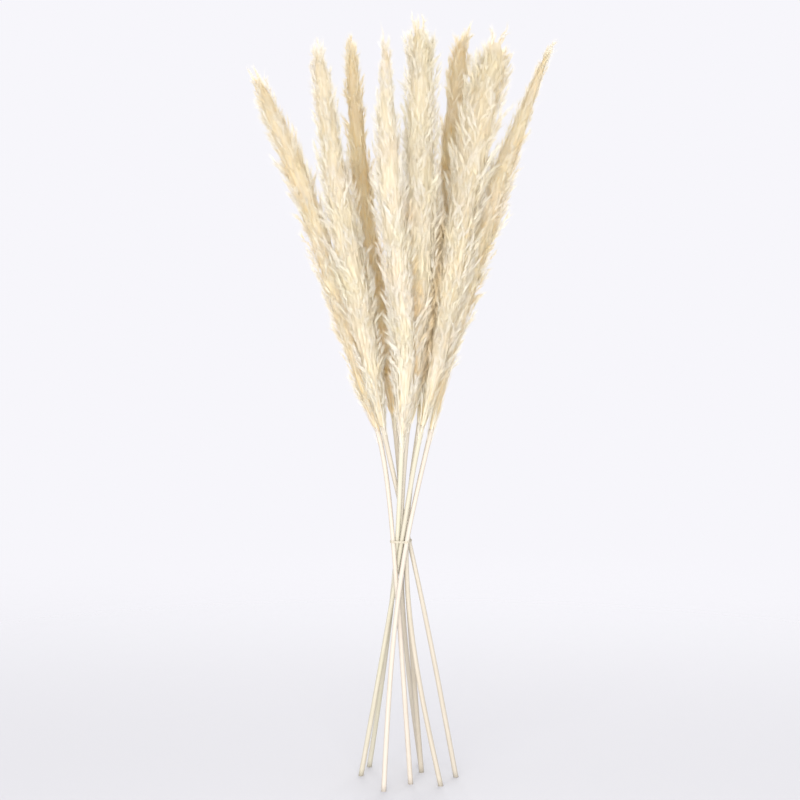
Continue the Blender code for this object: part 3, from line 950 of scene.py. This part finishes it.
def stray_awns(culm, rng):
    """Thin awns that stick out of the head here and there."""
    count = AWNS["count"]
    start = rng.uniform(AWNS["starts_above"], culm.head_height() - AWNS["starts_below"], count)
    half_width = culm.head_half_width(start)
    out = around(rng.uniform(0, 2 * math.pi, count))
    place = out * (half_width * AWNS["inside"])[:, None] + UP * start[:, None]
    direction = UP + out * rng.uniform(*AWNS["lean"], (count, 1))
    direction = direction + rng.normal(0, AWNS["stray"], (count, 3))
    length = rng.uniform(*AWNS["length"], count)
    curl = out * rng.normal(AWNS["curl"], AWNS["curl_spread"], (count, 1))
    width = np.full(count, AWNS["width"])
    tone = rng.uniform(*AWNS["tone"], count)
    return slivers_from(place, direction, length, curl, width, AWNS["flat"], tone, rng)


print("on each head:", BRACTS["count"], "bracts,", FIBRES["count"], "fibres,",
      AWNS["count"], "awns")

# %% [markdown]
# ## From a straight head to its culm
#
# A straight head is moved to the bent line of its culm, ring by ring. A Curve modifier could
# do that, but the values for the material have to be read between the two states. Where two
# heads press together in the bunch, the hairs that would reach over the border between them
# are drawn back, as real ones are when they lean on each other.

# %% Bend a head to its culm, and keep it off its neighbours
CLEARANCE = 1.0
DRAWN_BACK = 0.6
OVER_THE_TIP = 20.0
TOUCHING_FROM, TOUCHING_TO = 0.7, 1.1


def follow_line(straight, culm):
    """Moves the points of a straight head, in millimetres, to the line of its culm."""
    height = culm.collar + straight[:, 2] * MM
    across, depth, along = culm.frame_at(height)
    return (culm.at(height) + across * (straight[:, :1] * MM)
            + depth * (straight[:, 1:2] * MM))


def keep_apart(points, own):
    """Presses points that reach over the border to a neighbouring head back towards it.

    Also says how deep in the crowd each point is: 1 in a cleft between heads, 0 in the open.
    The material paints shade into the clefts by this value.
    """
    points = points.copy()
    crowd = np.zeros(len(points))
    z = np.clip(points[:, 2], own.collar, own.top)
    for other in culms.values():
        if other is own:
            continue
        gap = (other.at(points[:, 2]) - own.at(points[:, 2]))[:, :2]
        distance = np.linalg.norm(gap, axis=1)
        towards = gap / distance[:, None]
        own_width = own.half_width(z) + CLEARANCE * MM
        other_width = other.half_width(np.minimum(points[:, 2], other.top)) + CLEARANCE * MM
        both = own_width + other_width
        border = distance * own_width / both
        reach = ((points - own.at(points[:, 2]))[:, :2] * towards).sum(axis=1)
        beside = points[:, 2] < other.top + OVER_THE_TIP * MM
        touching = np.clip((both / distance - TOUCHING_FROM) / (TOUCHING_TO - TOUCHING_FROM), 0, 1)
        crowd = np.maximum(crowd, np.clip(reach / border, 0, 1) * touching * beside)
        over = np.where((reach > border) & beside, (reach - border) * DRAWN_BACK, 0)
        points[:, :2] -= towards * over[:, None]
    return points, crowd


print("hairs over a border are drawn back by", DRAWN_BACK, "of the way")


# %% Turn arrays into a piece
def add_mesh(name, points, faces, values, material, smooth=True):
    """One piece from arrays, with a value of each name at every point."""
    mesh = bpy.data.meshes.new(name)
    mesh.vertices.add(len(points))
    mesh.vertices.foreach_set("co", points.astype(np.float32).ravel())
    mesh.loops.add(faces.size)
    mesh.loops.foreach_set("vertex_index", faces.astype(np.int32).ravel())
    mesh.polygons.add(len(faces))
    mesh.polygons.foreach_set("loop_start", np.arange(0, faces.size, 3, dtype=np.int32))
    mesh.polygons.foreach_set("use_smooth", np.full(len(faces), smooth))
    for value_name, value in values.items():
        layer = mesh.attributes.new(value_name, "FLOAT", "POINT")
        layer.data.foreach_set("value", value.astype(np.float32))
    mesh.update(calc_edges=True)
    mesh.materials.append(material)
    piece = bpy.data.objects.new(name, mesh)
    bpy.context.scene.collection.objects.link(piece)
    return piece


def add_place_on_straight(piece, straight):
    """Keeps, for the material, where each point was before the piece was bent."""
    layer = piece.data.attributes.new("straight", "FLOAT_VECTOR", "POINT")
    layer.data.foreach_set("vector", straight.astype(np.float32).ravel())


def dress(piece, node):
    """Puts the piece under the root body and hides the CAD node that it stands for."""
    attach(piece, "root")
    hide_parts(node)
    print(f"{piece.name}: {len(piece.data.polygons)} triangles")


print("the helpers that add a piece and dress it are ready")

# %% [markdown]
# ## The eight heads
#
# All the parts of a head are joined in one mesh, because the real head is one piece. Its faces
# stay flat: a sliver has only three sides, and smooth shading would blur it into a thread,
# where the real one is a dry blade with edges.

# %% Make the eight heads
HEAD_SEED = 500


def make_plume(culm):
    rng = np.random.default_rng(HEAD_SEED + culm.number)
    sprigs = lay_sprigs(lay_tufts(culm, rng), rng)
    parts = [core_tube(culm)]
    parts += [copy_slivers(fill_sprigs(sprigs, kind, rng), kind["shape"])
              for kind in (SPIKELETS, HAIRS, FINE_HAIRS)]
    for lay, shape in ((undercoat, spikelet), (bracts, bract), (sheath_fibres, bract),
                       (stray_awns, spikelet)):
        parts.append(copy_slivers(lay(culm, rng), shape))
    firsts = np.cumsum([0] + [len(part["points"]) for part in parts])
    points, along, tone = [np.concatenate([part[name] for part in parts])
                           for name in ("points", "along", "tone")]
    faces = np.concatenate([part["faces"] + first for part, first in zip(parts, firsts)])
    # How deep each point lies in its head; the material paints shade deep inside from it.
    radius = np.hypot(points[:, 0], points[:, 1]) * MM
    depth = radius / culm.half_width(np.minimum(culm.collar + points[:, 2] * MM, culm.top))
    height = np.clip(points[:, 2] / culm.head_height(), 0, 1)
    points, crowd = keep_apart(follow_line(points, culm), culm)
    values = dict(along=along, tone=tone, height=height, depth=depth, crowd=crowd)
    # The two heads at the back take the material with painted shade.
    material = shaded_tan_hair if culm.number in SHADED_HEADS else cream_hair
    plume = add_mesh(f"plume_{culm.number}_hair", points, faces, values, material, smooth=False)
    dress(plume, f"plume_{culm.number}")
    return plume


plumes = [make_plume(culm) for culm in culms.values()]
print("triangles in all heads:", sum(len(plume.data.polygons) for plume in plumes))

# %% [markdown]
# ## The bare stems
#
# Below the heads the culms are bare straw: smooth, round, pale and about five millimetres
# thick, with very fine grooves along them and a clean cut at the foot, where the paler pith
# shows. They are a little thicker at the foot, and again below the collar, where the last leaf
# was wrapped round them. A curve with a round bevel would give the rod, but not the cut. So
# one straight stem is modelled, by drawing a circle upwards ring by ring, and each culm gets a
# copy whose rings are moved on to its own line.

# %% Model one straight stem
STEM_SIDES = 20
STEM_STEP = 9.0
STEM_LENGTH = 400.0
CUT_EDGE = 0.25
CUT_DEPTH = 0.3
PITH_WIDTH = 2.6


def straight_stem():
    """A round stem, one unit for each millimetre, with a cut foot at z = 0."""
    start_clean()
    bpy.ops.mesh.primitive_circle_add(vertices=STEM_SIDES, fill_type="NGON",
                                      radius=STEM_WIDTH / 2)
    stem = bpy.context.object
    stem.name = "stem"
    bpy.ops.object.mode_set(mode="EDIT")
    for ring in range(int(STEM_LENGTH / STEM_STEP)):
        draw_out(STEM_STEP)
    select_face(stem, 0.0)
    bpy.ops.mesh.inset(thickness=CUT_EDGE)
    bpy.ops.mesh.inset(thickness=(STEM_WIDTH - PITH_WIDTH) / 2 - CUT_EDGE)
    bpy.ops.transform.translate(value=(0, 0, CUT_DEPTH))
    bpy.ops.mesh.select_all(action="SELECT")
    bpy.ops.mesh.quads_convert_to_tris()
    return take_arrays(stem)


stem_points, stem_faces = straight_stem()

# %% The straw material
STRAW_COLOURS = [(0.0, (0.41, 0.36, 0.275)), (0.35, (0.49, 0.44, 0.355)),
                 (0.65, (0.55, 0.505, 0.43)), (1.0, (0.59, 0.555, 0.49))]
GREENISH = (0.965, 1.0, 0.90)
PINKISH = (1.0, 0.96, 0.955)
STRAW_STREAKS = dict(scale=1.6, detail=3.0, stretch=(1.6, 1.6, 0.02))
STRAW_CLOUDS = dict(scale=1.0, stretch=(0.05, 0.05, 0.02))
STREAK_TONE, CLOUD_TINT = 0.9, 1.5
GREENISH_RANGE, PINKISH_RANGE = (0.2, 1.0), (-0.2, -1.0)
ROUGHNESS_RANGE = (0.2, 0.8)
STRAW_ROUGHNESS = (0.42, 0.62)
STRAW_SHINE = 0.2
GROOVE_STRENGTH, GROOVE_DEPTH = 0.35, 0.00025


def straw_material():
    """Straw with streaks along the stem, in a tone and a tint that each stem carries."""
    paint = Paint("straw")
    place = paint.attribute("straight", out="Vector")
    streaks = paint.noise(place, **STRAW_STREAKS)
    clouds = paint.noise(place, **STRAW_CLOUDS)
    tone = paint.attribute("tone") + (streaks - 0.5) * STREAK_TONE
    tint = paint.attribute("tint") + (clouds - 0.5) * CLOUD_TINT
    colour = paint.ramp(tone, STRAW_COLOURS)
    colour = paint.mix(paint.spread(tint, *GREENISH_RANGE), colour, GREENISH, "MULTIPLY")
    colour = paint.mix(paint.spread(tint, *PINKISH_RANGE), colour, PINKISH, "MULTIPLY")
    smooth, rough = STRAW_ROUGHNESS
    roughness = paint.spread(streaks, *ROUGHNESS_RANGE) * (rough - smooth) + smooth
    paint.surface(Base_Color=colour, Roughness=roughness, Specular_IOR_Level=STRAW_SHINE,
                  Normal=paint.bump(streaks, GROOVE_STRENGTH, GROOVE_DEPTH))
    return paint.material


straw = straw_material()
print("material:", straw.name)

# %% Put a stem on each culm
# Some stems are paler (1) than others (0), and the tint runs from pinkish (-1) to greenish (1).
STEM_TONES = {1: 0.62, 2: 0.40, 3: 0.30, 4: 0.58, 5: 0.45, 6: 0.32, 7: 0.46, 8: 0.66}
STEM_TINTS = {1: -0.8, 2: 0.1, 3: -0.2, 4: 0.7, 5: 0.1, 6: 0.0, 7: 0.6, 8: -0.7}
WIDTH_LEVELS = (0, 110, 220, 258, 300, 342, 375)
WIDTHS = (5.5, 5.3, 5.0, 4.85, 5.1, 5.4, 5.7)
INTO_THE_HEAD = 1.0
# Points below this level are the cut foot. They stay when a stem is stretched to its length.
FOOT_LEVEL = 1.0
STEM_SEED = 700
# The streaks of each stem are read this far from those of the last, so that no two match.
STREAKS_APART = 40.0


def make_stem(culm):
    rng = np.random.default_rng(STEM_SEED + culm.number)
    turn = rng.uniform(0, 2 * math.pi)
    x, y, z = stem_points.T
    across = x * math.cos(turn) - y * math.sin(turn)
    deep = x * math.sin(turn) + y * math.cos(turn)
    top = culm.collar / MM + INTO_THE_HEAD
    height = np.where(z < FOOT_LEVEL, z, np.minimum(z * (top / z.max()), top))
    wider = np.interp(height, WIDTH_LEVELS, WIDTHS) / STEM_WIDTH
    points = culm.at(height * MM)
    points[:, 0] += across * wider * MM
    points[:, 1] += deep * wider * MM
    values = dict(tone=np.full(len(points), STEM_TONES[culm.number]),
                  tint=np.full(len(points), STEM_TINTS[culm.number]))
    stem = add_mesh(f"stem_{culm.number}_straw", points, stem_faces, values, straw)
    straight = np.stack([across + STREAKS_APART * culm.number, deep, height], axis=1)
    add_place_on_straight(stem, straight)
    dress(stem, f"stem_{culm.number}")
    return stem


stems = [make_stem(culm) for culm in culms.values()]
print("stems:", len(stems))

# %% [markdown]
# ## The tie
#
# One thread goes three times round the waist, pulled tight on the outermost stems, and is
# knotted at the back with two short ends. Such a thread is twisted from three strands. A round
# tube would look like wire, so its cross-section is a clover that turns on its way. It follows
# the outline of all the stems at that height, which a tight thread makes straight from stem to
# stem.

# %% The path of the thread
THREAD_WIDTH = 0.86
THREAD_TURNS = 3
THREAD_GAP = 0.15
THREAD_STEP = 0.6
POINTS_IN_A_TURN = 240
# The thread climbs to its next turn in this last part of a turn, at the back.
CLIMB = 0.14


def even_steps(path, step):
    """The same path with its points a step apart."""
    length = np.concatenate([[0], np.cumsum(np.linalg.norm(np.diff(path, axis=0), axis=1))])
    wanted = np.linspace(0, length[-1], int(length[-1] / step) + 2)
    return np.stack([np.interp(wanted, length, path[:, k]) for k in range(3)], axis=1)


def rounds_of_thread():
    """Three turns round the stems at the waist, starting and ending at the back."""
    offset = STEM_WIDTH / 2 + THREAD_GAP + THREAD_WIDTH / 2
    middles = np.array([culm.at(TIE_LEVEL * MM)[:2] for culm in culms.values()]) / MM
    turned = np.linspace(0, 2 * math.pi * THREAD_TURNS, POINTS_IN_A_TURN * THREAD_TURNS)
    out = around(QUARTER_TURN + turned)[:, :2]
    touched = middles[np.argmax(out @ middles.T, axis=1)]
    turns = turned / (2 * math.pi)
    rise = np.floor(turns) + np.clip((turns % 1 - (1 - CLIMB)) / CLIMB, 0, 1)
    height = TIE_LEVEL + THREAD_WIDTH * (np.minimum(rise, THREAD_TURNS - 1) - 1)
    return even_steps(np.column_stack([touched + out * offset, height]), THREAD_STEP)


thread_paths = [rounds_of_thread()]
print("points on the rounds of thread:", len(thread_paths[0]))

# %% The paths of the knot and of the two ends
KNOT_ACROSS = 1.58
KNOT_SIZE = 0.72
KNOT_OUT = 1.6
KNOT_OPENING = 0.12
KNOT_THICKNESS = 0.8
KNOT_POINTS, END_POINTS = 90, 40
# Where an end leaves the knot, from its middle: across on its own side, out and down.
END_START = (2.2, 0.3, -0.6)
END_LENGTH = 15.0
# An end first swings out, up to this part of a sine wave, and falls ever faster.
END_SWING, END_FALL = 1.4, 1.3
# Which way each end leans as it hangs: across, and away from the stems.
ENDS = ((-0.34, 0.30), (0.26, 0.34))


def knot_paths():
    """A tight overhand knot at the back, and its two ends, which hang a little apart."""
    back = max(culm.at(TIE_LEVEL * MM)[1] for culm in culms.values()) / MM
    middle = np.array([KNOT_ACROSS, back + STEM_WIDTH / 2 + KNOT_OUT, TIE_LEVEL])
    t = np.linspace(KNOT_OPENING, 2 * math.pi - KNOT_OPENING, KNOT_POINTS)
    lobes = np.stack([np.sin(t) + 2 * np.sin(2 * t), -KNOT_THICKNESS * np.sin(3 * t),
                      np.cos(t) - 2 * np.cos(2 * t)], axis=1)
    paths = [even_steps(middle + lobes * KNOT_SIZE, THREAD_STEP / 2)]
    down = np.linspace(0, 1, END_POINTS)[:, None]
    for across, deep in ENDS:
        start = middle + np.array(END_START) * (np.sign(across), 1, 1)
        swing = np.array([across, deep, 0.0]) * END_LENGTH * np.sin(down * END_SWING)
        paths.append(start + swing - UP * END_LENGTH * down ** END_FALL)
    return paths


thread_paths += knot_paths()
print("pieces of thread:", len(thread_paths))

# %% The thread material
THREAD_COLOURS = [(0.25, (0.53, 0.475, 0.36)), (0.5, (0.61, 0.555, 0.44)),
                  (0.75, (0.68, 0.63, 0.52))]
THREAD_FIBRES = dict(scale=1.0, detail=4.0, stretch=(7, 7, 0.5))
THREAD_ROUGHNESS = 0.8
FIBRE_STRENGTH, FIBRE_DEPTH = 0.5, 0.0001


def thread_material():
    """Matt plant fibre, with fibres that run along the thread."""
    paint = Paint("tie_thread")
    place = paint.attribute("straight", out="Vector")
    fibres = paint.noise(place, **THREAD_FIBRES)
    paint.surface(Base_Color=paint.ramp(fibres, THREAD_COLOURS), Roughness=THREAD_ROUGHNESS,
                  Normal=paint.bump(fibres, FIBRE_STRENGTH, FIBRE_DEPTH))
    return paint.material


tie_thread = thread_material()
print("material:", tie_thread.name)

# %% Twist the thread along its paths
TWIST_LENGTH = 4.0
THREAD_SIDES = 12
CLOVER = 0.16
# Any direction in which no path starts. It says where the first ring begins.
ASIDE = (0.3, 0.2, 1.0)
# The fibres of each piece of thread are read this far from those of the last.
FIBRES_APART = 9.0


def thread_tube(path):
    """A three-ply thread along a path: each ring is a clover, turned on from the last."""
    length = np.concatenate([[0], np.cumsum(np.linalg.norm(np.diff(path, axis=0), axis=1))])
    along = np.gradient(path, axis=0)
    along /= np.linalg.norm(along, axis=1, keepdims=True)
    side = np.cross(along[0], ASIDE)
    sides = []
    for direction in along:
        side = side - direction * np.dot(side, direction)
        side = side / np.linalg.norm(side)
        sides.append(side)
    sides = np.array(sides)
    ups = np.cross(along, sides)
    round_it = np.arange(THREAD_SIDES) * 2 * math.pi / THREAD_SIDES
    radius = THREAD_WIDTH / 2 * (1 - CLOVER + CLOVER * np.cos(3 * round_it))
    turned = round_it + 2 * math.pi * length[:, None] / TWIST_LENGTH
    rings = (path[:, None, :] + sides[:, None, :] * (np.cos(turned) * radius)[..., None]
             + ups[:, None, :] * (np.sin(turned) * radius)[..., None])
    points, faces = tube(rings)
    straight = np.stack([np.tile(np.cos(round_it) * radius, len(path)),
                         np.tile(np.sin(round_it) * radius, len(path)),
                         np.repeat(length, THREAD_SIDES)], axis=1)
    straight = np.concatenate([straight, [(0, 0, 0), (0, 0, length[-1])]])
    return points, faces, straight


def make_tie():
    points, faces, straight = [], [], []
    for number, path in enumerate(thread_paths):
        new_points, new_faces, new_straight = thread_tube(path)
        faces.append(new_faces + sum(len(part) for part in points))
        points.append(new_points)
        straight.append(new_straight + (FIBRES_APART * number, 0, 0))
    points = np.concatenate(points) * MM
    tie = add_mesh("tie_thread", points, np.concatenate(faces), {}, tie_thread)
    add_place_on_straight(tie, np.concatenate(straight))
    dress(tie, "tie")
    return tie


tie = make_tie()
